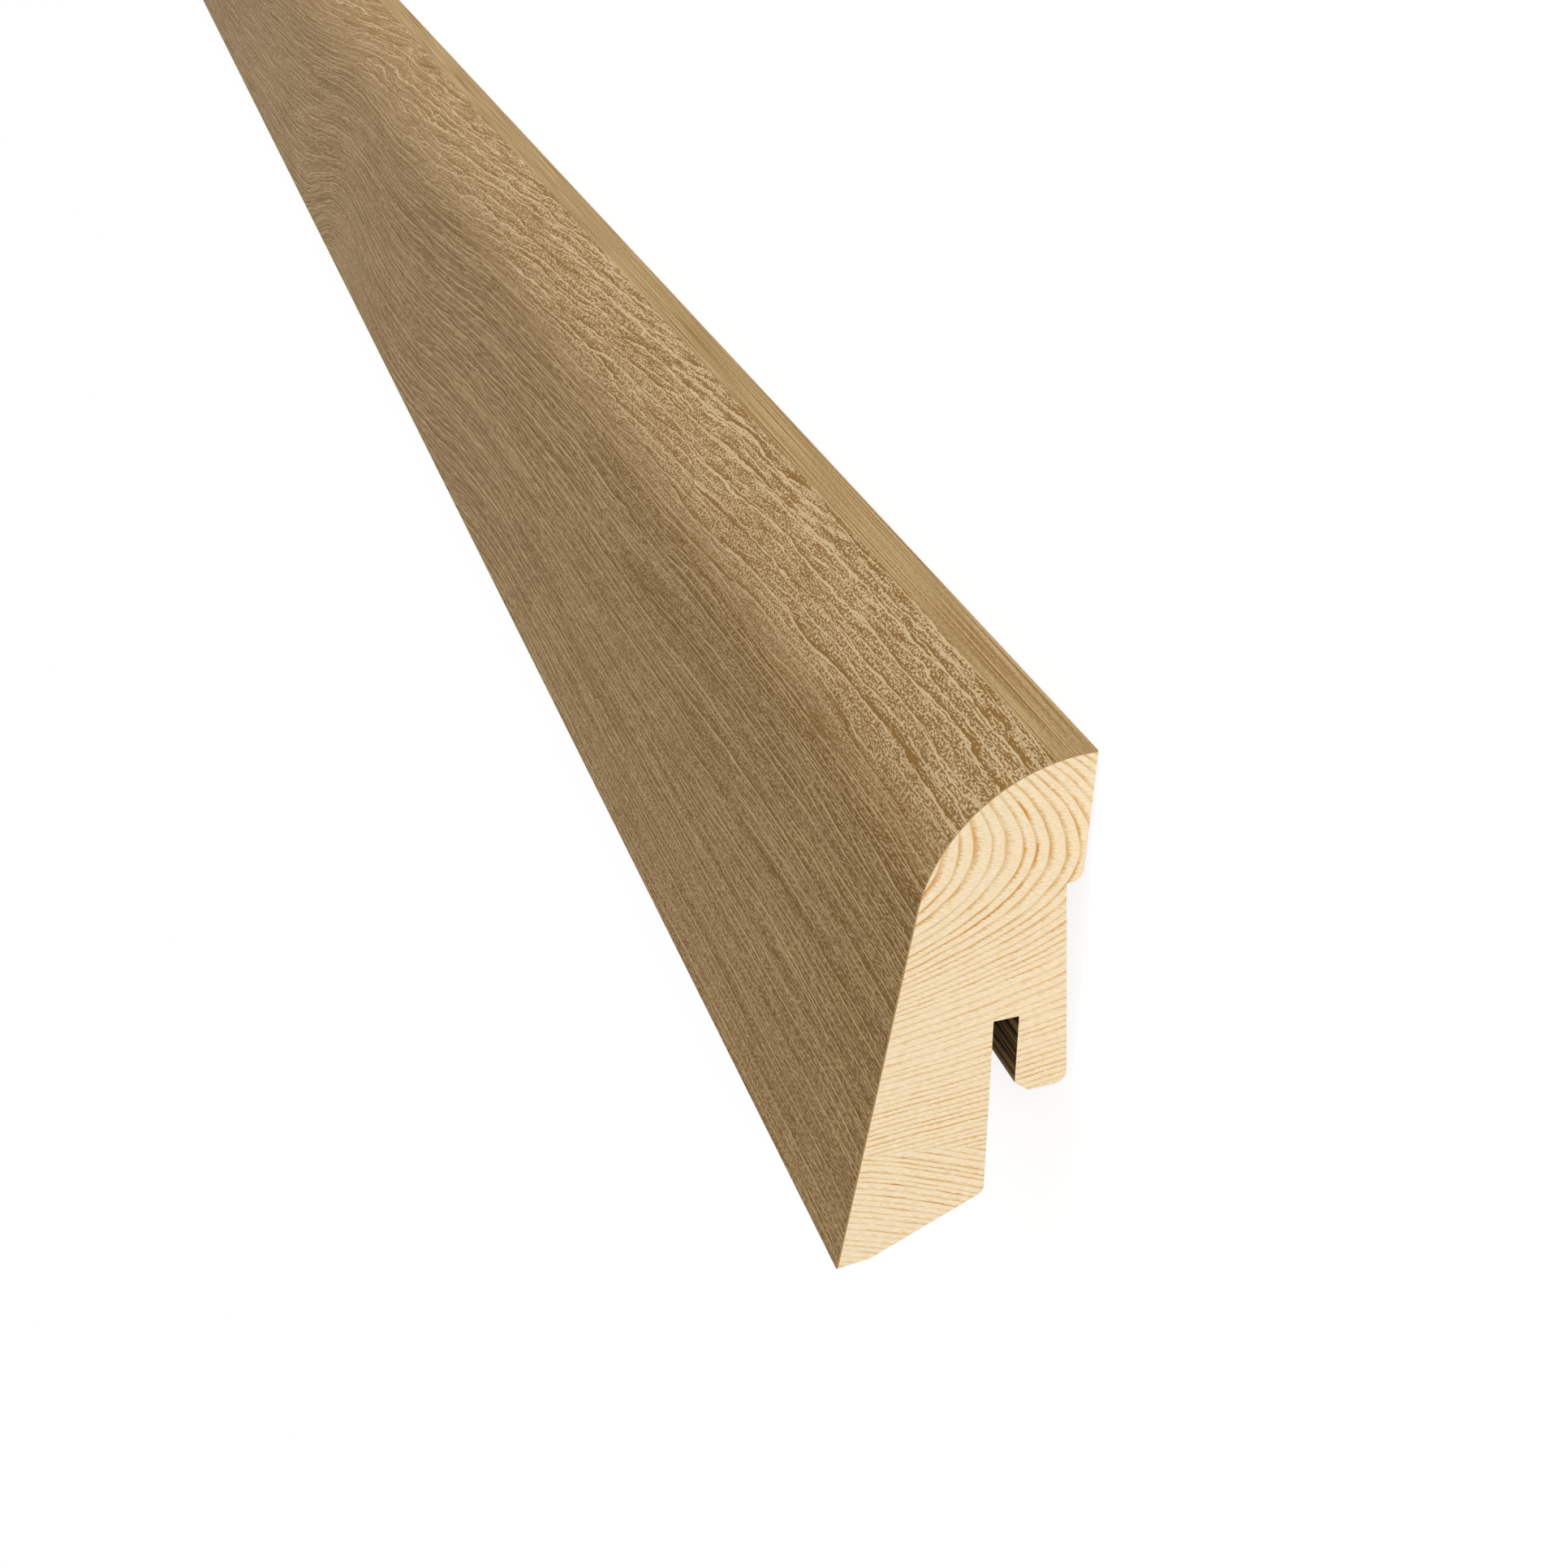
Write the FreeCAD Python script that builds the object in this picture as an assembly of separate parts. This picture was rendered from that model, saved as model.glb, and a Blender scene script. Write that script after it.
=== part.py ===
"""Skirting board length, 50 x 22 mm, 2.5 m long, for fixing on wall clips.

A softwood moulding, glued up from a body and a foot strip, with a thin oak decor wrap
over its leaning face and round top. All sizes are in millimetres.

The board lies on its back, as it is stored. X runs along the board, +Y points to the
top edge and +Z points away from the wall. The wall plane is Z = 0 and the origin lies
on it, in the middle of the length and of the height.

A point of the section is given as (back, up): how far it lies behind the front tip, and
how far above the floor line, as the board stands against its wall.
"""
import FreeCAD
import Part
import math
import os

# Overall size
length = 2500.0
height = 50.0
depth = 22.0

# Front face and round top
front_lean = 10.0        # degrees off upright, leaning back towards the wall
top_flat = 0.6           # level strip left on the rib, behind the round
wrap_thickness = 0.15    # printed decor wrap on the face, the round and the strip

# Back: a rib that meets the wall above a relieved leg
rib_height = 12.5
rib_lean = 1.8           # degrees, so that only the rib's top edge touches the wall
rib_sole = 0.3           # level strip under the rib, inside its rounded corner
relief_depth = 1.9       # from the wall plane to the leg, right under the rib
leg_lean = 4.1           # degrees, the leg runs back towards the wall as it goes down
leg_corner_radius = 1.1

# Clip groove, which opens down into the space for cables
cable_space_height = 16.0
groove_width = 2.4
groove_depth = 8.5
groove_from_wall = 5.45  # from the wall plane to the groove's wall on the leg's side
groove_lead_width = 1.35  # bevel that leads the clip's tongue in
groove_lead_height = 1.15

# Underside of the front leg
lip_width = 3.25
lip_rise = 5.0           # degrees, so that the front tip alone meets the floor
bevel_rise = 24.2        # degrees, clears an uneven floor behind the lip
foot_corner_radius = 0.9

# Glue joint between the two softwood strips, square to the front face
joint_height = 12.7      # where it meets the front face


def slope(degrees):
    """Rise over run of a line at this many degrees."""
    return math.tan(math.radians(degrees))


def front_at(up, inset=0.0):
    """How far back the leaning face lies at a height, or a face inset from it."""
    return up * slope(front_lean) + inset / math.cos(math.radians(front_lean))


def lip_start(inset=0.0):
    """Point where the front face, or a face inset from it, meets the lip."""
    back = front_at(0.0, inset) / (1.0 - slope(front_lean) * slope(lip_rise))
    return (back, back * slope(lip_rise))


def rib_back_at(up):
    """How far back the rib's face lies at a height."""
    return depth - (height - up) * slope(rib_lean)


def round_radius():
    """Radius of the arc that leaves the front face and ends on the level strip."""
    lean = math.radians(front_lean)
    run = (depth - top_flat) * math.cos(lean) - height * math.sin(lean)
    return run / (1.0 - math.sin(lean))


def rib_corner_radius():
    """Radius that takes up the rib's overhang, but for its level sole."""
    overhang = rib_back_at(height - rib_height) - (depth - relief_depth)
    return (overhang - rib_sole) / slope((90.0 - rib_lean) / 2.0)


def at(point):
    """A section point (back, up) at the board's far end, in the part's frame."""
    back, up = point
    return FreeCAD.Vector(-length / 2.0, up - height / 2.0, depth - back)


def rounded_corner(before, corner, after, radius):
    """Start, middle and end of the arc that rounds a corner between two points."""
    to_before = (before - corner).normalize()
    to_after = (after - corner).normalize()
    half_angle = to_before.getAngle(to_after) / 2.0
    reach = radius / math.tan(half_angle)
    to_centre = (to_before + to_after).normalize()
    centre = corner + to_centre * (radius / math.sin(half_angle))
    return (corner + to_before * reach, centre - to_centre * radius, corner + to_after * reach)


def moulding(corners):
    """Solid of full length from section corners, each ((back, up), radius)."""
    points = [at(point) for point, radius in corners]
    edges = []
    pen = None
    first = None
    for index, (point, radius) in enumerate(corners):
        corner = points[index]
        if radius > 0.0:
            after = points[(index + 1) % len(points)]
            start, middle, end = rounded_corner(points[index - 1], corner, after, radius)
        else:
            start = end = corner
        if pen is None:
            first = start
        else:
            edges.append(Part.makeLine(pen, start))
        if radius > 0.0:
            edges.append(Part.Arc(start, middle, end).toShape())
        pen = end
    edges.append(Part.makeLine(pen, first))
    section = Part.Face(Part.Wire(edges))
    return section.extrude(FreeCAD.Vector(length, 0.0, 0.0))


# Lines of the section that several pieces share
groove_back = depth - groove_from_wall
groove_front = groove_back - groove_width
groove_top = cable_space_height + groove_depth
rib_bottom = height - rib_height
leg_top = (depth - relief_depth, rib_bottom)
leg_run = (rib_bottom - cable_space_height) * slope(leg_lean)
leg_end = (leg_top[0] + leg_run, cable_space_height)
joint_front = (front_at(joint_height, wrap_thickness), joint_height)
joint_back = (groove_front, joint_height - (groove_front - joint_front[0]) * slope(front_lean))
under_wrap = height - wrap_thickness


def softwood_body():
    """Upper strip: the round, the rib, the leg and the clip groove."""
    return moulding([
        (joint_front, 0.0),
        ((front_at(under_wrap, wrap_thickness), under_wrap), round_radius() - wrap_thickness),
        ((rib_back_at(under_wrap), under_wrap), 0.0),
        ((rib_back_at(rib_bottom), rib_bottom), rib_corner_radius()),
        (leg_top, 0.0),
        (leg_end, leg_corner_radius),
        ((groove_back + groove_lead_width, cable_space_height), 0.0),
        ((groove_back, cable_space_height + groove_lead_height), 0.0),
        ((groove_back, groove_top), 0.0),
        ((groove_front, groove_top), 0.0),
        (joint_back, 0.0),
    ])


def softwood_foot():
    """Lower strip: the end of the front leg, with its lip and bevelled underside."""
    lip_back = (lip_width, lip_width * slope(lip_rise))
    heel_up = lip_back[1] + (groove_front - lip_width) * slope(bevel_rise)
    return moulding([
        (joint_front, 0.0),
        (joint_back, 0.0),
        ((groove_front, heel_up), foot_corner_radius),
        (lip_back, 0.0),
        (lip_start(wrap_thickness), 0.0),
    ])


def decor_wrap():
    """Decor layer, from the front tip over the round to the rib's back edge."""
    return moulding([
        (lip_start(), 0.0),
        ((front_at(height), height), round_radius()),
        ((rib_back_at(height), height), 0.0),
        ((rib_back_at(under_wrap), under_wrap), 0.0),
        ((front_at(under_wrap, wrap_thickness), under_wrap), round_radius() - wrap_thickness),
        (lip_start(wrap_thickness), 0.0),
    ])


def main():
    os.makedirs("parts", exist_ok=True)
    for piece in (softwood_body, softwood_foot, decor_wrap):
        piece().exportStep(os.path.join("parts", piece.__name__ + ".step"))


main()
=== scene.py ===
"""Looks of the skirting board length: a softwood moulding with an oak decor wrap.

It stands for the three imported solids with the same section, drawn with smooth rounds,
and gives each its finish. Metres, in the part's own frame: X along the board, +Y to its
top edge, +Z away from the wall. The board lies on its back on the floor, Z = 0.
"""
import math
from types import SimpleNamespace

import bpy
from mathutils import Matrix, Vector


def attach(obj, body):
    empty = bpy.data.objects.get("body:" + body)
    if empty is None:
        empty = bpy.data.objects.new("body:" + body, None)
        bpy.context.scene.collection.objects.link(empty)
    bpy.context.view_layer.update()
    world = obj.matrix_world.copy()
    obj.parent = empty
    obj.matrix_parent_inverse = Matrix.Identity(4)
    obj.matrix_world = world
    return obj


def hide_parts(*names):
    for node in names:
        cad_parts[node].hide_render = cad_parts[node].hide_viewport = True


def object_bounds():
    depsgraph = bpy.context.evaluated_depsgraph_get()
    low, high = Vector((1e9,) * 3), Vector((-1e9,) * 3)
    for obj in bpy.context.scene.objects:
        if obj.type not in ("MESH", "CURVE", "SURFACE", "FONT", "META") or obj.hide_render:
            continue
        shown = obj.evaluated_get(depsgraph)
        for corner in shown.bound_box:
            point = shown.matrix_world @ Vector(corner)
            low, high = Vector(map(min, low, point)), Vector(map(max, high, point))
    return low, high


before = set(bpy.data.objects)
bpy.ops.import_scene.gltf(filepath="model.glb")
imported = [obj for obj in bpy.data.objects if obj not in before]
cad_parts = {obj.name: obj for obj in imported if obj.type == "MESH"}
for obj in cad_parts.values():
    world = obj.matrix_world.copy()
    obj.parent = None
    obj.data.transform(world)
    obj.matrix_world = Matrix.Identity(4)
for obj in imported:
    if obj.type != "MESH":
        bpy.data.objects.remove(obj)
cad_low, cad_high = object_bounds()

MM = 0.001

# The board's section in millimetres and degrees, as the part's source has it
length = (cad_high.x - cad_low.x) / MM
height = (cad_high.y - cad_low.y) / MM
depth = (cad_high.z - cad_low.z) / MM
front_lean = 10.0
top_flat = 0.6
wrap_thickness = 0.15
rib_height = 12.5
rib_lean = 1.8
rib_sole = 0.3
relief_depth = 1.9
leg_lean = 4.1
leg_corner_radius = 1.1
cable_space_height = 16.0
groove_width = 2.4
groove_depth = 8.5
groove_from_wall = 5.45
groove_lead_width = 1.35
groove_lead_height = 1.15
lip_width = 3.25
lip_rise = 5.0
bevel_rise = 24.2
foot_corner_radius = 0.9
joint_height = 12.7

# The foil's print, in millimetres. Across the foil is measured from the front tip upwards
roller_turn = 1250.0        # the print comes back after one turn of its roller
steep_arch_at = 320.0       # from the near end to the arch that stands out
round_print_from = 40.5     # across the foil, the round's bolder print begins to take over
round_print_full = 45.0
strip_from = 56.0           # plain straight grain from here to the wall

# The photo's frame and its lens's focal length, in pixels, and where the camera stands
photo_side_px = 1932.0
focal_px = 2537.3
camera_place = (1378.2275, 108.5540, 69.4407)    # mm, just beyond the near end
camera_turn = (-31.8523, 71.4266, -0.8121)       # degrees


def slope(degrees):
    """Rise over run of a line at this many degrees."""
    return math.tan(math.radians(degrees))


def front_at(up, inset=0.0):
    """How far back the leaning face lies at a height, or a face inset from it."""
    return up * slope(front_lean) + inset / math.cos(math.radians(front_lean))


def lip_start(inset=0.0):
    """Point where the front face, or a face inset from it, meets the lip."""
    back = front_at(0.0, inset) / (1.0 - slope(front_lean) * slope(lip_rise))
    return (back, back * slope(lip_rise))


def rib_back_at(up):
    """How far back the rib's face lies at a height."""
    return depth - (height - up) * slope(rib_lean)


# Lines of the section that several pieces share
lean = math.radians(front_lean)
top_run = (depth - top_flat) * math.cos(lean) - height * math.sin(lean)
top_radius = top_run / (1.0 - math.sin(lean))
groove_back = depth - groove_from_wall
groove_front = groove_back - groove_width
groove_top = cable_space_height + groove_depth
rib_bottom = height - rib_height
rib_overhang = rib_back_at(rib_bottom) - (depth - relief_depth)
rib_radius = (rib_overhang - rib_sole) / slope((90.0 - rib_lean) / 2.0)
leg_top = (depth - relief_depth, rib_bottom)
leg_end = (leg_top[0] + (rib_bottom - cable_space_height) * slope(leg_lean), cable_space_height)
joint_front = (front_at(joint_height, wrap_thickness), joint_height)
joint_back = (groove_front, joint_height - (groove_front - joint_front[0]) * slope(front_lean))
lip_back = (lip_width, lip_width * slope(lip_rise))
heel = (groove_front, lip_back[1] + (groove_front - lip_width) * slope(bevel_rise))
under_wrap = height - wrap_thickness


def section(corners):
    """Outline points in millimetres from corners ((back, up), radius), rounds in fine steps."""
    longest_step = 0.4
    fewest_steps = 6
    points = []
    for index, ((back, up), radius) in enumerate(corners):
        corner = Vector((back, up))
        if radius == 0.0:
            points.append(corner)
            continue
        to_before = (Vector(corners[index - 1][0]) - corner).normalized()
        to_after = (Vector(corners[(index + 1) % len(corners)][0]) - corner).normalized()
        half = to_before.angle(to_after) / 2.0
        centre = corner + (to_before + to_after).normalized() * (radius / math.sin(half))
        start = corner + to_before * (radius / math.tan(half)) - centre
        turn = start.angle_signed(corner + to_after * (radius / math.tan(half)) - centre)
        steps = max(fewest_steps, round(abs(turn) * radius / longest_step))
        for step in range(steps + 1):
            arm = start.copy()
            arm.rotate(Matrix.Rotation(-turn * step / steps, 2))
            points.append(centre + arm)
    return points


def place(x, point):
    """A section point in millimetres at x metres along the board, in the part's frame."""
    return (x, (point.y - height / 2.0) * MM, (depth - point.x) * MM)


def moulding(name, corners, finish, node):
    """One moulded piece of full length. Its UVs are metres along and round the section."""
    outline = section(corners)
    count = len(outline)
    ends = (cad_low.x, cad_high.x)
    verts = [place(x, point) for x in ends for point in outline]
    faces = [tuple(range(count)), tuple(reversed(range(count, 2 * count)))]
    for i in range(count):
        j = (i + 1) % count
        faces.append((i, i + count, j + count, j))
    mesh = bpy.data.meshes.new(name)
    mesh.from_pydata(verts, [], faces)

    # The first corner is where the foil begins, so its UVs count from the front tip
    reach = [0.0]
    for i in range(count):
        reach.append(reach[-1] + (outline[(i + 1) % count] - outline[i]).length * MM)
    unrolled = mesh.uv_layers.new(name="unrolled")
    for side in range(count):
        corners_uv = ((ends[0], reach[side]), (ends[1], reach[side]),
                      (ends[1], reach[side + 1]), (ends[0], reach[side + 1]))
        for loop, uv in zip(mesh.polygons[2 + side].loop_indices, corners_uv):
            unrolled.data[loop].uv = uv
    for end in (0, 1):
        for loop in mesh.polygons[end].loop_indices:
            index = mesh.loops[loop].vertex_index % count
            unrolled.data[loop].uv = (ends[end], reach[index])

    # The rounds shade smooth, and every true edge of the moulding stays crisp
    sharp_from = 15.0
    for face in mesh.polygons:
        face.use_smooth = len(face.vertices) == 4
    mesh.update()
    mesh.set_sharp_from_angle(angle=math.radians(sharp_from))
    piece = bpy.data.objects.new(name, mesh)
    bpy.context.scene.collection.objects.link(piece)
    mesh.materials.append(finish)
    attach(piece, "root")
    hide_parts(node)


def hexed(code):
    """Linear colour of an sRGB hex value."""
    shares = [int(code[i:i + 2], 16) / 255.0 for i in (1, 3, 5)]
    linear = [c / 12.92 if c <= 0.04045 else ((c + 0.055) / 1.055) ** 2.4 for c in shares]
    return (*linear, 1.0)


def add(tree, kind, feeds=None, **settings):
    """Adds a node with its settings. Feeds fill its inputs with values, sockets or nodes."""
    node = tree.nodes.new("ShaderNode" + kind)
    for name, value in settings.items():
        setattr(node, name, value)
    for name, value in (feeds or {}).items():
        if isinstance(value, bpy.types.Node):
            value = value.outputs[0]
        if isinstance(value, bpy.types.NodeSocket):
            tree.links.new(value, node.inputs[name])
        else:
            node.inputs[name].default_value = value
    return node


def new_material(name):
    """A material with only its shader, ready for a finish."""
    material = bpy.data.materials.new(name)
    material.use_nodes = True
    tree = material.node_tree
    tree.nodes.clear()
    shader = add(tree, "BsdfPrincipled")
    add(tree, "OutputMaterial", {"Surface": shader})
    return material, tree, shader


def cells(along, across, deep=1.0):
    """Scale for noise in mm whose patches are this many mm along, across and deep."""
    return (1.0 / along, 1.0 / across, 1.0 / deep)


def grain_lines(tree, spot, grain, every, bend, pale, dark, kept, seed):
    """Growth lines along the grain: a thin pale line with a dark band behind it that fades.

    Spot and grain are places in mm, and a line comes every so many mm across the grain. Bend
    is how far the lines stray, and over what length and width. Pale and dark are each a width
    in mm and a strength, which is added to 0 between the lines. Kept is how long a stretch of
    line is, and how much of it is missing: at 0.3 nearly all shows, at 0.5 half.
    """
    reach, bend_length, bend_width = bend
    pale_width, pale_strength = pale
    dark_width, dark_strength = dark
    stretch, missing = kept
    split = add(tree, "SeparateXYZ", {"Vector": grain})
    stray_at = add(tree, "VectorMath", operation="MULTIPLY_ADD", feeds={
        0: spot, 1: cells(bend_length, bend_width), 2: (seed, 0.0, 0.0)})
    stray = add(tree, "TexNoise", noise_dimensions="2D", feeds={
        "Vector": stray_at, "Scale": 1.0, "Detail": 1.0})
    line = add(tree, "Math", {0: stray, 1: reach, 2: split.outputs["Y"]}, operation="MULTIPLY_ADD")
    past = add(tree, "Math", {0: line, 1: every}, operation="FLOORED_MODULO")

    # The ink's edges are some 0.05 mm soft, and the dark band fades fast and then slowly
    start = add(tree, "MapRange", {"Value": past, "From Max": 0.04})
    stop = add(tree, "MapRange", {
        "Value": past, "From Min": pale_width, "From Max": pale_width + 0.05,
        "To Min": pale_strength, "To Max": 0.0})
    pale_line = add(tree, "Math", {0: start, 1: stop}, operation="MULTIPLY")
    begun = add(tree, "MapRange", {
        "Value": past, "From Min": pale_width, "From Max": pale_width + 0.06})
    fade = add(tree, "MapRange", {
        "Value": past, "From Min": pale_width, "From Max": pale_width + dark_width,
        "To Min": 1.0, "To Max": 0.0})
    core = add(tree, "Math", {0: fade, 1: 2.5}, operation="POWER")
    banded = add(tree, "Math", {0: begun, 1: core}, operation="MULTIPLY")
    dark_band = add(tree, "Math", {0: banded, 1: -dark_strength}, operation="MULTIPLY")

    # Both come and go along the grain, each on its own, in patches a little wider than a line
    patch_width = every / 0.9
    gap_at = add(tree, "VectorMath", operation="MULTIPLY_ADD", feeds={
        0: grain, 1: cells(stretch, patch_width), 2: (seed, 3.0, 0.0)})
    gap = add(tree, "TexNoise", noise_dimensions="2D", feeds={
        "Vector": gap_at, "Scale": 1.0, "Detail": 0.0})
    pale_kept = add(tree, "MapRange", {
        "Value": gap, "From Min": missing - 0.08, "From Max": missing + 0.08})
    patch_at = add(tree, "VectorMath", operation="MULTIPLY_ADD", feeds={
        0: grain, 1: cells(stretch / 1.6, patch_width), 2: (seed, 57.0, 0.0)})
    patch = add(tree, "TexNoise", noise_dimensions="2D", feeds={
        "Vector": patch_at, "Scale": 1.0, "Detail": 1.0})
    dark_kept = add(tree, "MapRange", {
        "Value": patch, "From Min": missing - 0.12, "From Max": missing + 0.12})
    pale_part = add(tree, "Math", {0: pale_line, 1: pale_kept}, operation="MULTIPLY")
    return add(tree, "Math", {0: dark_band, 1: dark_kept, 2: pale_part}, operation="MULTIPLY_ADD")


def grain_arch(tree, turn, across, centre, half_width, rise, fades_over):
    """How far the grain is lifted, in mm, by an arch of grain that stands on the lower edge."""
    off = add(tree, "Math", operation="MULTIPLY_ADD", feeds={
        0: turn, 1: 1.0 / half_width, 2: -centre / half_width})
    square = add(tree, "Math", {0: off, 1: off}, operation="MULTIPLY")
    power = add(tree, "Math", {0: across, 1: -1.0 / fades_over}, operation="MULTIPLY")
    both = add(tree, "Math", {0: power, 1: square}, operation="SUBTRACT")
    share = add(tree, "Math", {0: both}, operation="EXPONENT")
    return add(tree, "Math", {0: share, 1: rise}, operation="MULTIPLY")


def roller_wave(tree, from_end, waves):
    """A wave from -1 to 1 along the board, so many times in each turn of the print roller."""
    angle = add(tree, "Math", operation="MULTIPLY", feeds={
        0: from_end, 1: waves * 2.0 * math.pi / roller_turn})
    return add(tree, "Math", {0: angle}, operation="COSINE")


def foil_layout(tree):
    """Places on the foil in mm, and how the printed grain runs there."""
    uv = add(tree, "UVMap", uv_map="unrolled")
    mm = add(tree, "VectorMath", operation="MULTIPLY_ADD", feeds={
        0: uv, 1: (-1.0 / MM, 1.0 / MM, 0.0), 2: (length / 2.0, 0.0, 0.0)})
    split = add(tree, "SeparateXYZ", {"Vector": mm})
    from_end = split.outputs["X"]
    across = split.outputs["Y"]

    # Once in each turn of the roller: a gentle arch of grain at the lower edge, a steep one,
    # and under it a low swell that reaches up over the whole board
    turn = add(tree, "Math", operation="WRAP", feeds={
        0: from_end, 1: steep_arch_at + roller_turn / 2.0, 2: steep_arch_at - roller_turn / 2.0})
    gentle = grain_arch(tree, turn, across, centre=150.0, half_width=55.0, rise=6.5, fades_over=20.0)
    steep = grain_arch(
        tree, turn, across, centre=steep_arch_at, half_width=33.0, rise=13.0, fades_over=20.0)
    swell = grain_arch(tree, turn, across, centre=292.0, half_width=40.0, rise=3.5, fades_over=200.0)
    low_arches = add(tree, "Math", {0: gentle, 1: steep}, operation="ADD")
    arches = add(tree, "Math", {0: low_arches, 1: swell}, operation="ADD")
    raised = add(tree, "Math", {0: across, 1: arches}, operation="SUBTRACT")

    # Grain drifts over 110 by 30 mm and ripples over 18 by 3 mm, as a sawn plank's does
    drift_at = add(tree, "VectorMath", {0: mm, 1: cells(110.0, 30.0)}, operation="MULTIPLY")
    drift = add(tree, "TexNoise", noise_dimensions="2D", feeds={
        "Vector": drift_at, "Scale": 1.0, "Detail": 1.0})
    drifted = add(tree, "Math", {0: drift, 1: 4.0, 2: raised}, operation="MULTIPLY_ADD")
    ripple_at = add(tree, "VectorMath", {0: mm, 1: cells(18.0, 3.0)}, operation="MULTIPLY")
    ripple = add(tree, "TexNoise", noise_dimensions="2D", feeds={
        "Vector": ripple_at, "Scale": 1.0, "Detail": 1.0})

    # Places along the grain are taken at a slant, so that specks don't line up across the foil
    slanted = add(tree, "Math", {0: across, 1: 2.7, 2: from_end}, operation="MULTIPLY_ADD")
    return SimpleNamespace(
        mm=mm, across=across, drifted=drifted, ripple=ripple, slanted=slanted,
        swing=roller_wave(tree, from_end, 1.0),
        sway=roller_wave(tree, from_end, 2.0),
        ebb=roller_wave(tree, from_end, 3.0))


def face_print(tree, foil, speck, coarser):
    """Figure of the leaning face: fine straight oak, which turns coarser away from the seam."""
    # The grain runs 34 mm down the board and back in each turn of the roller
    grain_line = foil.drifted
    for wave, sweep in ((foil.swing, -17.0), (foil.sway, -2.0), (foil.ripple, 0.8)):
        grain_line = add(tree, "Math", {0: wave, 1: sweep, 2: grain_line}, operation="MULTIPLY_ADD")
    grain = add(tree, "CombineXYZ", {"X": foil.slanted, "Y": grain_line})

    # Fibres 0.14 by 2.2 mm, soft growth zones 2.6 mm wide, and growth lines 0.9 and 2.4 mm apart
    fibre_at = add(tree, "VectorMath", {0: grain, 1: cells(2.2, 0.14)}, operation="MULTIPLY")
    fibre = add(tree, "TexNoise", noise_dimensions="2D", feeds={
        "Vector": fibre_at, "Scale": 1.0, "Detail": 0.0})
    zone_at = add(tree, "VectorMath", {0: grain, 1: cells(90.0, 2.6)}, operation="MULTIPLY")
    zone = add(tree, "TexNoise", noise_dimensions="2D", feeds={
        "Vector": zone_at, "Scale": 1.0, "Detail": 1.0})
    fine_lines = grain_lines(
        tree, foil.mm, grain, every=0.9, bend=(0.9, 18.0, 3.5), pale=(0.12, 0.8),
        dark=(0.3, 0.46), kept=(22.0, 0.46), seed=11.0)
    wide_lines = grain_lines(
        tree, foil.mm, grain, every=2.4, bend=(1.4, 40.0, 7.0), pale=(0.14, 0.4),
        dark=(1.2, 0.26), kept=(45.0, 0.45), seed=51.0)

    # Away from the seam come streaks 0.32 by 3 mm and pale lines 0.26 mm wide, 1.3 mm apart
    coarse_at = add(tree, "VectorMath", {0: grain, 1: cells(3.0, 0.32)}, operation="MULTIPLY")
    coarse = add(tree, "TexNoise", noise_dimensions="2D", feeds={
        "Vector": coarse_at, "Scale": 1.0, "Detail": 1.0})
    coarse_off = add(tree, "Math", {0: coarse, 1: 0.5}, operation="SUBTRACT")
    thick_lines = grain_lines(
        tree, foil.mm, grain, every=1.3, bend=(1.2, 30.0, 5.0), pale=(0.26, 0.3),
        dark=(0.6, 0.26), kept=(30.0, 0.43), seed=33.0)
    coarse_figure = add(tree, "Math", operation="MULTIPLY_ADD", feeds={
        0: coarse_off, 1: 0.6, 2: thick_lines})

    # The print is a little paler at the seam, and darker low on the face 210 mm from it and
    # half a turn away
    dip = add(tree, "MapRange", {
        "Value": foil.ebb, "From Min": -1.0, "From Max": 0.0, "To Min": 1.0, "To Max": 0.0})
    low_down = add(tree, "MapRange", {
        "Value": foil.across, "From Min": 8.0, "From Max": 36.0, "To Min": 1.0, "To Max": 0.3})
    dusky = add(tree, "Math", {0: dip, 1: low_down}, operation="MULTIPLY")
    figure = fine_lines
    for part, strength in ((speck, 0.95), (fibre, 0.55), (zone, 0.2), (coarser, coarse_figure),
                           (foil.swing, 0.034), (dusky, -0.055)):
        figure = add(tree, "Math", {0: part, 1: strength, 2: figure}, operation="MULTIPLY_ADD")
    full_figure = add(tree, "Math", {0: figure, 1: wide_lines}, operation="ADD")

    # The figure is printed in two inks, and blends softly from one to the other
    middle = 0.962
    spread = 0.31
    tone = add(tree, "MapRange", interpolation_type="SMOOTHSTEP", feeds={
        "Value": full_figure, "From Min": middle - spread, "From Max": middle + spread})
    colour = add(tree, "Mix", data_type="RGBA", feeds={
        "Factor": tone, "A": hexed("#7d5b27"), "B": hexed("#c8aa7b")})
    return colour.outputs["Result"]


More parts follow.
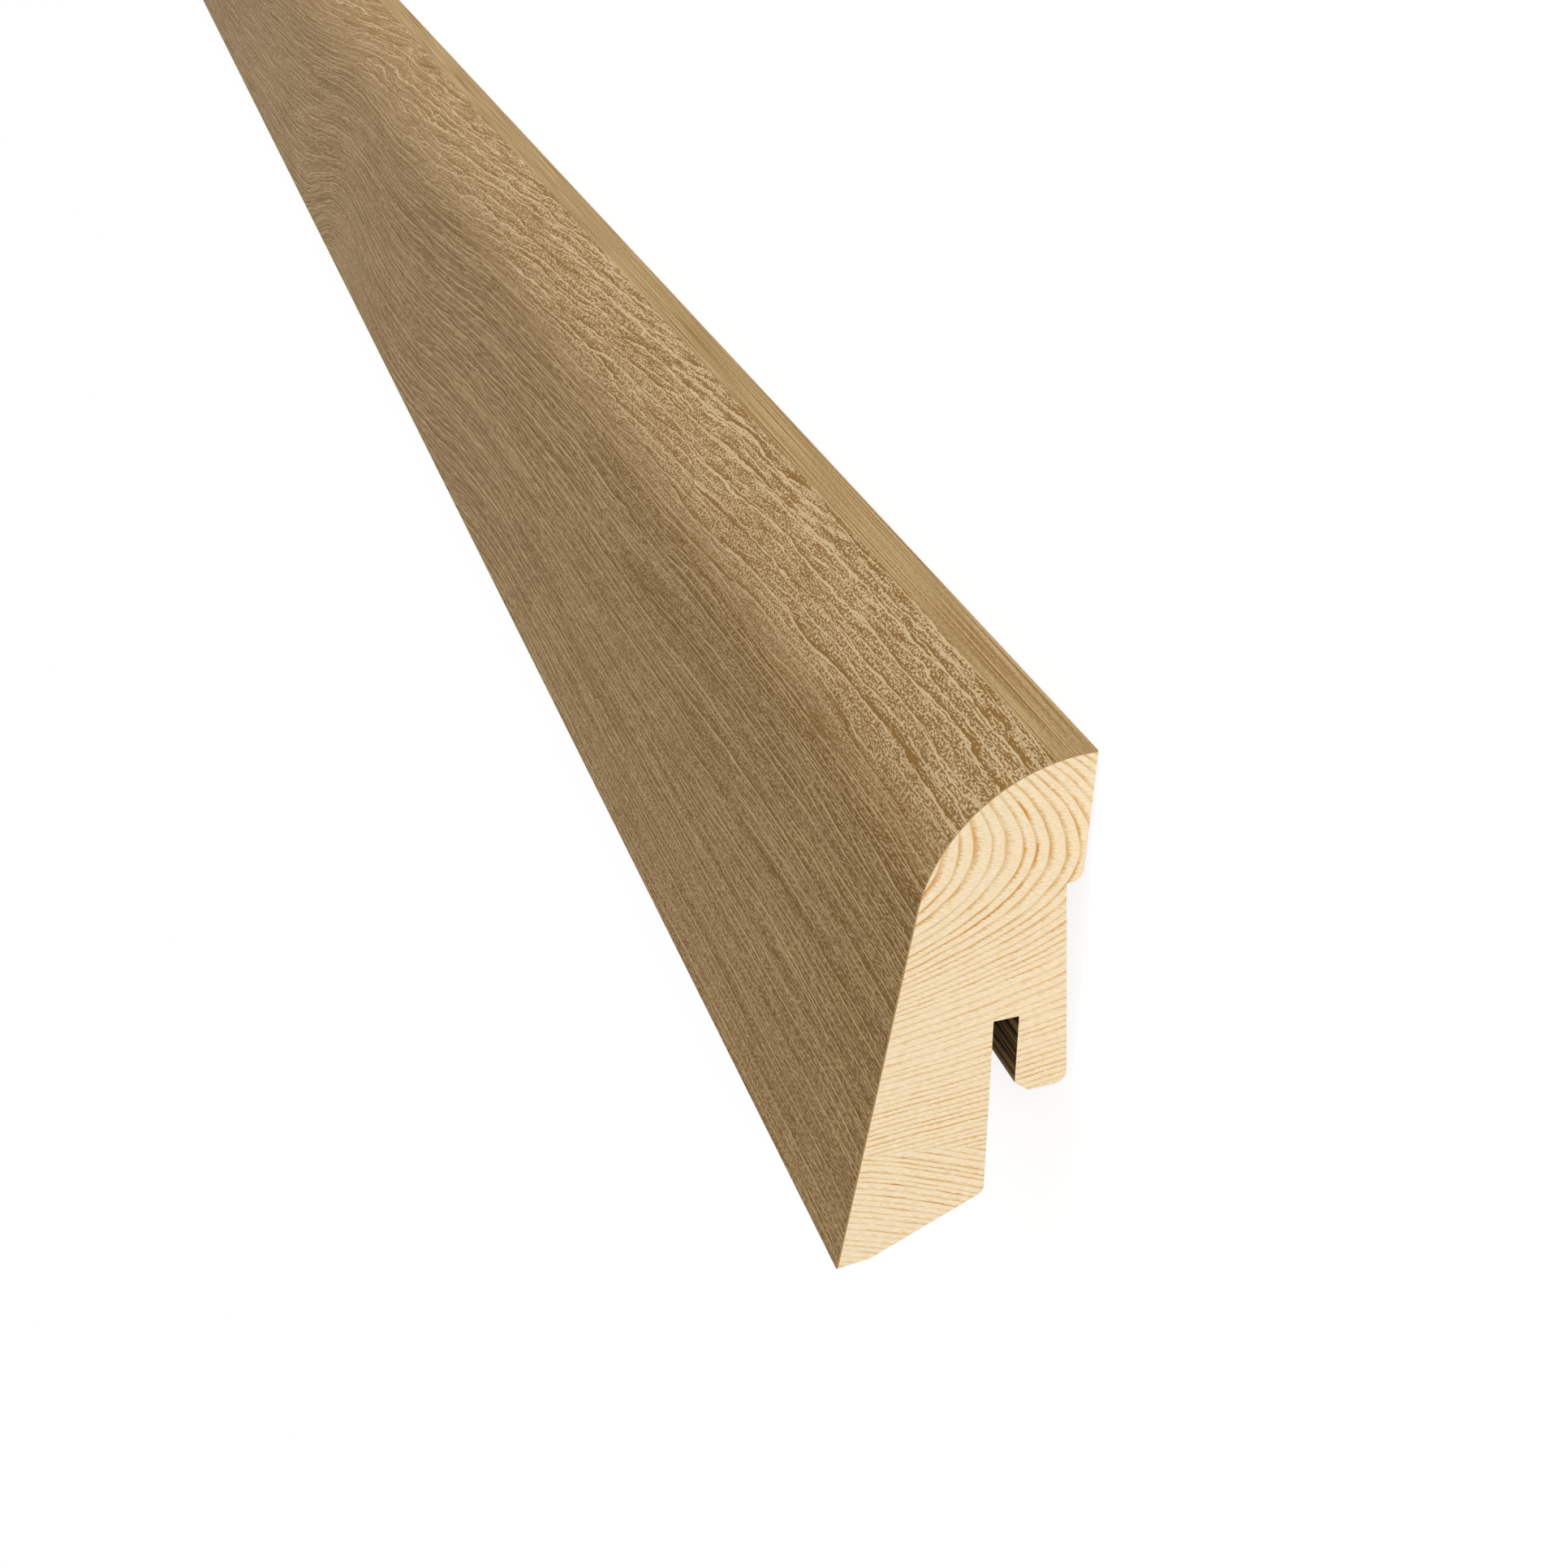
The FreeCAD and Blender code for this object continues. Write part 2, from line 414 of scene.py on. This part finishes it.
def round_print(tree, foil, coarser):
    """Figure of the round top: bolder and livelier oak than the face, in paler inks."""
    # Its lines are ragged: they stray by up to 0.4 mm within 2 mm
    jag_at = add(tree, "VectorMath", {0: foil.mm, 1: cells(2.0, 0.6)}, operation="MULTIPLY")
    jag = add(tree, "TexNoise", noise_dimensions="2D", feeds={
        "Vector": jag_at, "Scale": 1.0, "Detail": 1.0})
    grain_line = foil.drifted
    for wave, sweep in ((foil.swing, -16.0), (foil.sway, -3.0), (foil.ripple, 0.7), (jag, 0.4)):
        grain_line = add(tree, "Math", {0: wave, 1: sweep, 2: grain_line}, operation="MULTIPLY_ADD")
    grain = add(tree, "CombineXYZ", {"X": foil.slanted, "Y": grain_line})

    # Specks 0.13 by 0.42 mm, blots 0.2 by 2.4 mm, and growth lines 1.15 and 2.5 mm apart
    blot_at = add(tree, "VectorMath", {0: grain, 1: cells(2.4, 0.2)}, operation="MULTIPLY")
    blot = add(tree, "TexNoise", noise_dimensions="2D", feeds={
        "Vector": blot_at, "Scale": 1.0, "Detail": 1.0})
    bold_at = add(tree, "VectorMath", {0: foil.mm, 1: cells(0.42, 0.13)}, operation="MULTIPLY")
    bold_speck = add(tree, "TexNoise", noise_dimensions="2D", feeds={
        "Vector": bold_at, "Scale": 1.0, "Detail": 0.0})
    crisp_lines = grain_lines(
        tree, foil.mm, grain, every=1.15, bend=(1.4, 14.0, 4.0), pale=(0.13, 0.6),
        dark=(0.4, 0.34), kept=(15.0, 0.47), seed=71.0)
    broad_lines = grain_lines(
        tree, foil.mm, grain, every=2.5, bend=(2.4, 20.0, 5.0), pale=(0.17, 0.45),
        dark=(0.8, 0.6), kept=(36.0, 0.45), seed=21.0)

    # Away from the seam come grit 0.34 by 0.9 mm and long pale lines 1.7 mm apart
    bold_lines = grain_lines(
        tree, foil.mm, grain, every=1.7, bend=(2.4, 20.0, 5.0), pale=(0.2, 0.6),
        dark=(0.7, 0.36), kept=(34.0, 0.44), seed=93.0)
    grit_at = add(tree, "VectorMath", {0: foil.mm, 1: cells(0.9, 0.34)}, operation="MULTIPLY")
    grit = add(tree, "TexNoise", noise_dimensions="2D", feeds={
        "Vector": grit_at, "Scale": 1.0, "Detail": 0.0})
    grit_off = add(tree, "Math", {0: grit, 1: 0.5}, operation="SUBTRACT")
    coarse_figure = add(tree, "Math", operation="MULTIPLY_ADD", feeds={
        0: grit_off, 1: 0.65, 2: bold_lines})

    # Dark and pale marks 0.5 by 5 mm gather along the last few mm before the plain strip
    mark_at = add(tree, "VectorMath", operation="MULTIPLY_ADD", feeds={
        0: grain, 1: cells(5.0, 0.5), 2: (0.0, 37.0, 0.0)})
    mark = add(tree, "TexNoise", noise_dimensions="2D", feeds={
        "Vector": mark_at, "Scale": 1.0, "Detail": 1.0})
    mark_off = add(tree, "Math", {0: mark, 1: 0.5}, operation="SUBTRACT")
    marked = add(tree, "MapRange", {"Value": foil.across, "From Min": 49.0, "From Max": 54.0})
    figure = crisp_lines
    for part, strength in ((blot, 0.6), (bold_speck, 1.05), (coarser, coarse_figure),
                           (mark_off, marked)):
        figure = add(tree, "Math", {0: part, 1: strength, 2: figure}, operation="MULTIPLY_ADD")
    full_figure = add(tree, "Math", {0: figure, 1: broad_lines}, operation="ADD")

    # The figure is boldest at the seam, calms down over 240 mm, and is livelier near the strip
    figure_off = add(tree, "Math", {0: full_figure, 1: 0.855}, operation="SUBTRACT")
    calm = add(tree, "MapRange", {
        "Value": foil.swing, "From Min": 0.35, "From Max": 0.88, "To Min": 0.42, "To Max": 1.06})
    livelier = add(tree, "MapRange", {
        "Value": foil.across, "From Min": 46.0, "From Max": 53.0, "To Min": 1.04, "To Max": 1.3})
    lively = add(tree, "Math", {0: calm, 1: livelier}, operation="MULTIPLY")
    calmed = add(tree, "Math", {0: figure_off, 1: lively}, operation="MULTIPLY")
    shaded = add(tree, "Math", {0: foil.swing, 1: 0.07, 2: calmed}, operation="MULTIPLY_ADD")
    middle = 0.08
    spread = 0.27
    tone = add(tree, "MapRange", interpolation_type="SMOOTHSTEP", feeds={
        "Value": shaded, "From Min": middle - spread, "From Max": middle + spread})
    colour = add(tree, "Mix", data_type="RGBA", feeds={
        "Factor": tone, "A": hexed("#8b6836"), "B": hexed("#cfb58c")})
    return colour.outputs["Result"]


def strip_print(tree, foil, speck):
    """The strip along the wall: plain straight grain, with fibres 0.13 by 30 mm."""
    fibre_at = add(tree, "VectorMath", {0: foil.mm, 1: cells(30.0, 0.13)}, operation="MULTIPLY")
    fibre = add(tree, "TexNoise", noise_dimensions="2D", feeds={
        "Vector": fibre_at, "Scale": 1.0, "Detail": 1.0})
    figure = add(tree, "Math", {0: speck, 1: 0.3, 2: fibre}, operation="MULTIPLY_ADD")
    tone = add(tree, "MapRange", {"Value": figure, "From Min": 0.42, "From Max": 0.88})
    colour = add(tree, "Mix", data_type="RGBA", feeds={
        "Factor": tone, "A": hexed("#8b6938"), "B": hexed("#c7ab7c")})
    return colour.outputs["Result"]


def printed_oak_foil():
    """Decor foil glued round the moulding: paper printed with oak in two browns, matt lacquered.

    The print is a screened picture of oak, so close up it breaks into crisp light and dark
    specks, and from afar it reads as pale lines of grain, each with a soft brown band. The
    matt lacquer leaves hardly any gloss.
    """
    material, tree, shader = new_material("printed_oak_foil")
    foil = foil_layout(tree)

    # A dot of the print's screen, about 0.1 mm, is too fine to show, so the specks are drawn
    # 0.14 mm wide and 0.5 mm long
    slant = add(tree, "CombineXYZ", {"X": foil.slanted, "Y": foil.across})
    speck_at = add(tree, "VectorMath", {0: slant, 1: cells(0.5, 0.14)}, operation="MULTIPLY")
    speck = add(tree, "TexNoise", noise_dimensions="2D", feeds={
        "Vector": speck_at, "Scale": 1.0, "Detail": 0.0})

    # The print is finest at the roller's seam, where the swing is at its crest: at both ends of
    # the board and in the middle
    coarser = add(tree, "MapRange", {"Value": foil.swing, "From Min": 1.0, "From Max": 0.8})
    face = face_print(tree, foil, speck, coarser)
    top = round_print(tree, foil, coarser)
    strip = strip_print(tree, foil, speck)

    on_round = add(tree, "MapRange", {
        "Value": foil.across, "From Min": round_print_from, "From Max": round_print_full})
    figured = add(tree, "Mix", data_type="RGBA", feeds={"Factor": on_round, "A": face, "B": top})
    in_strip = add(tree, "MapRange", {
        "Value": foil.across, "From Min": strip_from - 0.05, "From Max": strip_from + 0.05})
    colour = add(tree, "Mix", data_type="RGBA", feeds={
        "Factor": in_strip, "A": figured.outputs["Result"], "B": strip})
    tree.links.new(colour.outputs["Result"], shader.inputs["Base Color"])
    shader.inputs["Roughness"].default_value = 0.6
    shader.inputs["Specular IOR Level"].default_value = 0.1
    return material


def body_rings(tree, back, up):
    """Rings of the body, cut near the heart of the log, as a count and a boldness.

    They are arches that open to the front, and nearly level lines low down. They lie 1.4 mm
    apart at the arches' tips and close up to 0.55 mm at the glue joint. They are bold at the
    top, fainter in the middle, and boldest low down.
    """
    tilt = math.radians(-10.3)
    arches_up = 43.0         # mm above the floor line, where the arches' tips lie
    arm_run = 6.13           # far out, an arm runs this far to the front for each mm of height
    bluntness = 190.3        # mm, the larger the rounder the tips
    first_ring = 190.0       # mm of reach, as are the next ones
    outer_from = 214.0
    inner_every = 1.4
    outer_every = 2.35
    out_part = add(tree, "Math", {0: back, 1: math.cos(tilt)}, operation="MULTIPLY")
    out = add(tree, "Math", {0: up, 1: math.sin(tilt), 2: out_part}, operation="MULTIPLY_ADD")
    side_part = add(tree, "Math", operation="MULTIPLY_ADD", feeds={
        0: back, 1: -math.sin(tilt), 2: -arches_up})
    side = add(tree, "Math", {0: up, 1: math.cos(tilt), 2: side_part}, operation="MULTIPLY_ADD")
    run_out = add(tree, "Math", {0: side, 1: arm_run}, operation="MULTIPLY")
    square = add(tree, "Math", operation="MULTIPLY_ADD", feeds={
        0: run_out, 1: run_out, 2: bluntness ** 2})
    arch = add(tree, "Math", {0: square}, operation="SQRT")
    reach = add(tree, "Math", {0: out, 1: arch}, operation="ADD")
    inner = add(tree, "Math", {0: reach, 1: outer_from}, operation="MINIMUM")
    outer = add(tree, "Math", {0: reach, 1: outer_from}, operation="MAXIMUM")
    inner_count = add(tree, "Math", operation="MULTIPLY_ADD", feeds={
        0: inner, 1: 1.0 / inner_every, 2: -first_ring / inner_every})
    at_change = add(tree, "Math", operation="SUBTRACT", feeds={
        0: inner_count, 1: outer_from / outer_every})
    count = add(tree, "Math", operation="MULTIPLY_ADD", feeds={
        0: outer, 1: 1.0 / outer_every, 2: at_change})
    fainter = add(tree, "MapRange", {
        "Value": reach, "From Min": 204.0, "From Max": 214.0, "To Min": 1.0, "To Max": 0.76})
    bolder_low = add(tree, "MapRange", {
        "Value": reach, "From Min": 222.0, "From Max": 255.0, "To Min": 0.0, "To Max": 0.34})
    boldness = add(tree, "Math", {0: fainter, 1: bolder_low}, operation="ADD")
    return count, boldness


def foot_rings(tree, back, up):
    """Rings of the foot, cut far from the heart, as a count and a boldness.

    They are nearly straight, 0.63 mm apart, and fall to the back. They are boldest up at the
    glue joint.
    """
    every = 0.63
    first_ring = 60.0        # mm from the heart
    heart_front = 22.9       # mm in front of the front tip
    heart_below = 59.2       # mm under the floor line
    from_x = add(tree, "Math", {0: back, 1: heart_front}, operation="ADD")
    from_y = add(tree, "Math", {0: up, 1: heart_below}, operation="ADD")
    square = add(tree, "Math", {0: from_x, 1: from_x}, operation="MULTIPLY")
    squares = add(tree, "Math", {0: from_y, 1: from_y, 2: square}, operation="MULTIPLY_ADD")
    reach = add(tree, "Math", {0: squares}, operation="SQRT")
    count = add(tree, "Math", operation="MULTIPLY_ADD", feeds={
        0: reach, 1: 1.0 / every, 2: -first_ring / every})
    boldness = add(tree, "MapRange", {
        "Value": reach, "From Min": 68.0, "From Max": 76.0, "To Min": 0.66, "To Max": 1.22})
    return count, boldness


def saw_fuzz(tree, back, up):
    """Torn fibres of the saw cut: strokes 0.7 by 0.13 mm, at 18 degrees across the section."""
    tilt = math.radians(-18.0)
    stroke_length = 0.7
    stroke_width = 0.13
    along_part = add(tree, "Math", {0: back, 1: math.cos(tilt) / stroke_length}, operation="MULTIPLY")
    along = add(tree, "Math", operation="MULTIPLY_ADD", feeds={
        0: up, 1: math.sin(tilt) / stroke_length, 2: along_part})
    over_part = add(tree, "Math", {0: back, 1: -math.sin(tilt) / stroke_width}, operation="MULTIPLY")
    over = add(tree, "Math", operation="MULTIPLY_ADD", feeds={
        0: up, 1: math.cos(tilt) / stroke_width, 2: over_part})
    fuzz_at = add(tree, "CombineXYZ", {"X": along, "Y": over})
    return add(tree, "TexNoise", noise_dimensions="2D", feeds={
        "Vector": fuzz_at, "Scale": 1.0, "Detail": 2.0})


def ringed_pine(tree, mm, fuzz, count, boldness, resin_rings):
    """Cream earlywood with tan latewood lines, one for each year of the log."""
    fuzz_off = add(tree, "Math", {0: fuzz, 1: 0.5}, operation="SUBTRACT")

    # The rings are uneven, and wander slowly along the board and a little from spot to spot
    uneven = add(tree, "TexNoise", noise_dimensions="1D", feeds={
        "W": count, "Scale": 0.6, "Detail": 0.0})
    uneven_off = add(tree, "Math", {0: uneven, 1: 0.5}, operation="SUBTRACT")
    wander_at = add(tree, "VectorMath", {0: mm, 1: cells(260.0, 30.0, 30.0)}, operation="MULTIPLY")
    wander = add(tree, "TexNoise", noise_dimensions="3D", feeds={
        "Vector": wander_at, "Scale": 1.0, "Detail": 2.0})
    wander_off = add(tree, "Math", {0: wander, 1: 0.5}, operation="SUBTRACT")
    waver_at = add(tree, "VectorMath", {0: mm, 1: cells(120.0, 3.5, 3.5)}, operation="MULTIPLY")
    waver = add(tree, "TexNoise", noise_dimensions="3D", feeds={
        "Vector": waver_at, "Scale": 1.0, "Detail": 1.0})
    waver_off = add(tree, "Math", {0: waver, 1: 0.5}, operation="SUBTRACT")
    ring = count
    for stray, share in ((uneven_off, 0.5), (wander_off, 2.2), (waver_off, 0.4), (fuzz_off, 0.12)):
        ring = add(tree, "Math", {0: stray, 1: share, 2: ring}, operation="MULTIPLY_ADD")

    # Latewood ends sharply toward the bark side of one year and frays out into the next
    year = add(tree, "Math", {0: ring}, operation="ROUND")
    from_late = add(tree, "Math", {0: ring, 1: year}, operation="SUBTRACT")
    sharp_side = add(tree, "MapRange", {"Value": from_late, "From Min": -0.22, "From Max": -0.14})
    frayed = add(tree, "Math", {0: fuzz_off, 1: 0.35, 2: from_late}, operation="MULTIPLY_ADD")
    frayed_side = add(tree, "MapRange", {
        "Value": frayed, "From Min": -0.1, "From Max": 0.22, "To Min": 1.0, "To Max": 0.0})
    late = add(tree, "Math", {0: sharp_side, 1: frayed_side}, operation="MULTIPLY")

    # Each year's line has its own strength, which comes and goes over some 3 mm
    strength = add(tree, "TexWhiteNoise", {"W": year}, noise_dimensions="1D")
    strong = add(tree, "MapRange", {"Value": strength, "To Min": 0.6, "To Max": 1.05})
    year_apart = add(tree, "Math", {0: year, 1: 17.0}, operation="MULTIPLY")
    own = add(tree, "CombineXYZ", {"X": year_apart})
    streak_at = add(tree, "VectorMath", operation="MULTIPLY_ADD", feeds={
        0: mm, 1: cells(60.0, 3.0, 3.0), 2: own})
    streak = add(tree, "TexNoise", noise_dimensions="3D", feeds={
        "Vector": streak_at, "Scale": 1.0, "Detail": 1.0})
    streaky = add(tree, "MapRange", {
        "Value": streak, "From Min": 0.35, "From Max": 0.62, "To Min": 0.55, "To Max": 1.1})
    bold = add(tree, "Math", {0: strong, 1: boldness}, operation="MULTIPLY")
    bolder = add(tree, "Math", {0: bold, 1: streaky}, operation="MULTIPLY")

    # Two years hold more resin: their lines are stronger, and orange where the others only
    # have a hint of it
    resin_one = add(tree, "Math", {0: year, 1: resin_rings[0], 2: 0.4}, operation="COMPARE")
    resin_two = add(tree, "Math", {0: year, 1: resin_rings[1], 2: 0.4}, operation="COMPARE")
    resin_ring = add(tree, "Math", {0: resin_one, 1: resin_two}, operation="ADD")
    resin_share = add(tree, "Math", {0: resin_ring, 1: 0.74, 2: 0.26}, operation="MULTIPLY_ADD")
    resin_spot = add(tree, "MapRange", {"Value": streak, "From Min": 0.38, "From Max": 0.55})
    resin = add(tree, "Math", {0: resin_share, 1: resin_spot}, operation="MULTIPLY")
    stronger = add(tree, "Math", {0: resin_ring, 1: 0.2, 2: bolder}, operation="MULTIPLY_ADD")
    ink = add(tree, "Math", {0: late, 1: stronger}, operation="MULTIPLY", use_clamp=True)
    late_tint = add(tree, "Mix", data_type="RGBA", feeds={
        "Factor": resin, "A": hexed("#d0a65c"), "B": hexed("#c98427")})
    cream_share = add(tree, "MapRange", {"Value": fuzz, "From Min": 0.35, "From Max": 0.65})
    cream = add(tree, "Mix", data_type="RGBA", feeds={
        "Factor": cream_share, "A": hexed("#e9d2aa"), "B": hexed("#f2dfc0")})
    wood = add(tree, "Mix", data_type="RGBA", feeds={
        "Factor": ink, "A": cream.outputs["Result"], "B": late_tint.outputs["Result"]})
    return wood.outputs["Result"]


def groove_painted_shade(tree, normal, mm, back, up, wood):
    """Painted shade in the clip groove: its walls are painted dark brown, with streaks along it, for
    the shade deep inside the groove.

    The sawn ends stay clean, and over the first 2 mm from the groove's mouth the painted shade comes
    in gradually.
    """
    past_front = add(tree, "Math", {0: back, 1: groove_front - 0.05}, operation="GREATER_THAN")
    before_back = add(tree, "Math", {0: back, 1: groove_back + 0.05}, operation="LESS_THAN")
    in_slot = add(tree, "Math", {0: past_front, 1: before_back}, operation="MULTIPLY")
    facing = add(tree, "SeparateXYZ", {"Vector": normal})
    end_on = add(tree, "Math", {0: facing.outputs["X"]}, operation="ABSOLUTE")
    along = add(tree, "Math", {0: end_on, 1: 0.5}, operation="LESS_THAN")
    slot_wall = add(tree, "Math", {0: in_slot, 1: along}, operation="MULTIPLY")
    # The painted shade is full from 2 mm inside the groove's mouth
    shade_deepens = add(tree, "MapRange", {
        "Value": up, "From Min": cable_space_height, "From Max": cable_space_height + 2.0})
    painted_shade = add(tree, "Math", {0: slot_wall, 1: shade_deepens}, operation="MULTIPLY")

    # Streaks in the painted shade run along the groove, 25 mm long and 0.4 mm wide
    shade_streak_at = add(tree, "VectorMath", {0: mm, 1: cells(25.0, 0.4, 0.4)}, operation="MULTIPLY")
    shade_streak = add(tree, "TexNoise", noise_dimensions="3D", feeds={
        "Vector": shade_streak_at, "Scale": 1.0, "Detail": 2.0})
    shade_streak_share = add(tree, "MapRange", {"Value": shade_streak, "From Min": 0.42, "From Max": 0.7})
    shade_brown = add(tree, "Mix", data_type="RGBA", feeds={
        "Factor": shade_streak_share, "A": hexed("#201404"), "B": hexed("#a17c49")})
    colour = add(tree, "Mix", data_type="RGBA", feeds={
        "Factor": painted_shade, "A": wood, "B": shade_brown.outputs["Result"]})
    return colour.outputs["Result"]


def planed_pine(name, rings, resin_rings):
    """Spruce or pine stock: cream earlywood, tan latewood lines, planed along, sawn across.

    The growth rings are drawn through the whole piece, so the same rings show as arcs on the
    sawn ends and as streaks along the machined faces. Bare wood is dull and hardly glossy.
    """
    material, tree, shader = new_material(name)
    at = add(tree, "TexCoord")
    mm = add(tree, "VectorMath", operation="MULTIPLY", feeds={
        0: at.outputs["Object"], 1: (1.0 / MM, 1.0 / MM, 1.0 / MM)})
    split = add(tree, "SeparateXYZ", {"Vector": mm})
    back = add(tree, "Math", {0: depth, 1: split.outputs["Z"]}, operation="SUBTRACT")
    up = add(tree, "Math", {0: split.outputs["Y"], 1: height / 2.0}, operation="ADD")
    fuzz = saw_fuzz(tree, back, up)
    count, boldness = rings(tree, back, up)
    wood = ringed_pine(tree, mm, fuzz, count, boldness, resin_rings)
    # The walls of the clip groove get painted shade, dark brown
    colour = groove_painted_shade(tree, at.outputs["Normal"], mm, back, up, wood)
    tree.links.new(colour, shader.inputs["Base Color"])
    shader.inputs["Roughness"].default_value = 0.7
    shader.inputs["Specular IOR Level"].default_value = 0.2
    return material


def body_wood():
    """Upper strip: the round, the rib, the leg and the clip groove."""
    pine = planed_pine("planed_pine_body", body_rings, (7.0, 1.0))
    moulding("body_wood", [
        (joint_front, 0.0),
        ((front_at(under_wrap, wrap_thickness), under_wrap), top_radius - wrap_thickness),
        ((rib_back_at(under_wrap), under_wrap), 0.0),
        ((rib_back_at(rib_bottom), rib_bottom), rib_radius),
        (leg_top, 0.0),
        (leg_end, leg_corner_radius),
        ((groove_back + groove_lead_width, cable_space_height), 0.0),
        ((groove_back, cable_space_height + groove_lead_height), 0.0),
        ((groove_back, groove_top), 0.0),
        ((groove_front, groove_top), 0.0),
        (joint_back, 0.0),
    ], pine, "softwood_body")


def foot_wood():
    """Lower strip: the end of the front leg, with its lip and bevelled underside."""
    pine = planed_pine("planed_pine_foot", foot_rings, (21.0, 19.0))
    moulding("foot_wood", [
        (joint_front, 0.0),
        (joint_back, 0.0),
        (heel, foot_corner_radius),
        (lip_back, 0.0),
        (lip_start(wrap_thickness), 0.0),
    ], pine, "softwood_foot")


def wrap_skin():
    """Decor foil, from the front tip over the round to the rib's back edge."""
    moulding("wrap_skin", [
        (lip_start(), 0.0),
        ((front_at(height), height), top_radius),
        ((rib_back_at(height), height), 0.0),
        ((rib_back_at(under_wrap), under_wrap), 0.0),
        ((front_at(under_wrap, wrap_thickness), under_wrap), top_radius - wrap_thickness),
        (lip_start(wrap_thickness), 0.0),
    ], printed_oak_foil(), "decor_wrap")


def seen_ray(tree):
    """1 for rays that the eye follows, straight or in gloss or through glass, 0 for light."""
    ray = add(tree, "LightPath")
    mirrored = add(tree, "Math", operation="MAXIMUM", feeds={
        0: ray.outputs["Is Glossy Ray"], 1: ray.outputs["Is Transmission Ray"]})
    return add(tree, "Math", {0: ray.outputs["Is Camera Ray"], 1: mirrored}, operation="MAXIMUM")


def floor():
    """White studio floor, a hair under the board so that the two don't share a plane."""
    half = 40.0
    gap = 0.2 * MM
    mesh = bpy.data.meshes.new("floor")
    mesh.from_pydata([(-half, -half, 0), (half, -half, 0), (half, half, 0), (-half, half, 0)],
                     [], [(0, 1, 2, 3)])
    ground = bpy.data.objects.new("floor", mesh)
    ground.location.z = -gap
    bpy.context.scene.collection.objects.link(ground)

    # Light meets plain pale paint. The eye sees paint and a glow that come to white where
    # nothing shades the floor, and the board's shadow stays
    material = bpy.data.materials.new("white_floor")
    material.use_nodes = True
    tree = material.node_tree
    tree.nodes.clear()
    paint = add(tree, "BsdfDiffuse", {"Color": (0.8, 0.8, 0.8, 1.0)})
    seen_paint = add(tree, "BsdfDiffuse", {"Color": (0.36, 0.36, 0.36, 1.0)})
    glow = add(tree, "Emission", {"Color": (1.0, 1.0, 1.0, 1.0), "Strength": 0.82})
    seen_floor = add(tree, "AddShader", {0: seen_paint, 1: glow})
    both = add(tree, "MixShader", {0: seen_ray(tree), 1: paint, 2: seen_floor})
    add(tree, "OutputMaterial", {"Surface": both})
    mesh.materials.append(material)


def light():
    """Plain soft studio light: a white room, and a low lamp that faces the near end.

    Together they light the sawn end and the round top so that a colour shows as it is written.
    """
    room_light = 0.42
    room_seen = 1.0
    lamp_light = 0.83
    lamp_from = Vector((0.735, 0.66, 0.165))
    world = bpy.data.worlds.new("studio")
    bpy.context.scene.world = world
    world.use_nodes = True
    tree = world.node_tree
    tree.nodes.clear()
    strength = add(tree, "MapRange", {
        "Value": seen_ray(tree), "To Min": room_light, "To Max": room_seen})
    sky = add(tree, "Background", {"Color": (1.0, 1.0, 1.0, 1.0), "Strength": strength})
    add(tree, "OutputWorld", {"Surface": sky})
    lamp = bpy.data.lights.new("soft_key", "SUN")
    lamp.energy = lamp_light * math.pi
    lamp.angle = math.radians(20.0)
    key = bpy.data.objects.new("soft_key", lamp)
    bpy.context.scene.collection.objects.link(key)
    key.rotation_mode = "QUATERNION"
    key.rotation_quaternion = lamp_from.to_track_quat("Z", "Y")


def camera():
    """The photo's camera, close to the near end.

    It is rolled so that the board, which lies on its back, looks upright as in the photo.
    """
    lens = bpy.data.cameras.new("photo_camera")
    lens.sensor_width = 36.0
    lens.lens = lens.sensor_width * focal_px / photo_side_px
    lens.clip_start = 0.01
    lens.clip_end = 200.0
    eye = bpy.data.objects.new("photo_camera", lens)
    bpy.context.scene.collection.objects.link(eye)
    eye.location = Vector(camera_place) * MM
    eye.rotation_euler = [math.radians(angle) for angle in camera_turn]
    bpy.context.scene.camera = eye


body_wood()
foot_wood()
wrap_skin()
floor()
light()
camera()
bpy.context.scene.view_settings.view_transform = "Standard"
